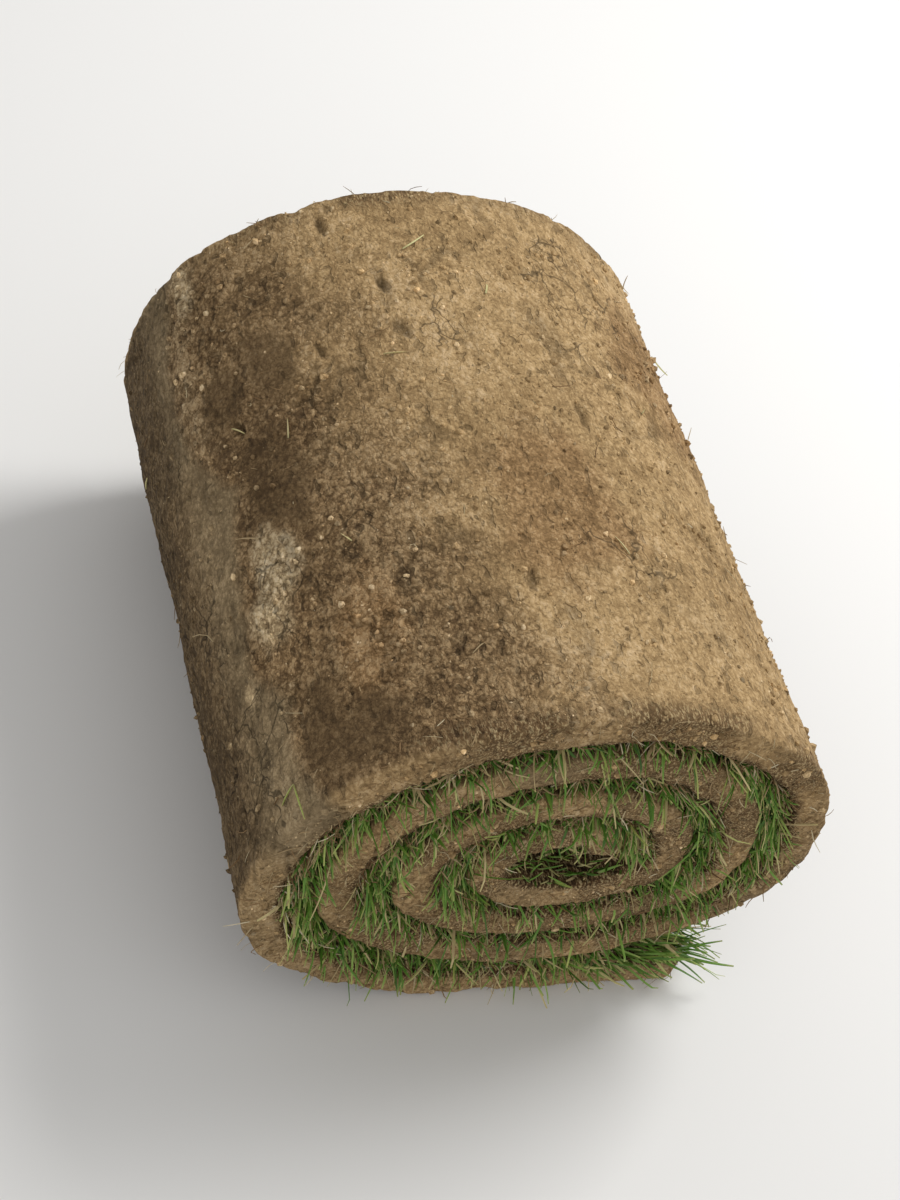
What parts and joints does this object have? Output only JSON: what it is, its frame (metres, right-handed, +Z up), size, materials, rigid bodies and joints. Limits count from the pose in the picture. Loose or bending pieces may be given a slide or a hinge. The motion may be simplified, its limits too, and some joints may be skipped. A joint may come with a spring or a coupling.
{
  "type": "turf roll",
  "caption": "Roll of cut turf lying on its side, soil outwards and grass inwards, wound in a sagged oval round a small open eye, with its outer end on the ground.",
  "frame": {"origin": "on the ground, under the middle of the roll", "axes": "+Y along the roll's axis, +Z up, +X towards the side where the strip's outer end lies on the ground"},
  "size_m": [0.385, 0.457, 0.306],
  "materials": {
    "soil": "rough moist soil held together by roots, with grass between the turns",
    "grass": "lush green blades over brown and straw thatch, between the turns and at the cut ends"
  },
  "bodies": {
    "root": {"turf_roll": "soil"}
  },
  "joints": []
}
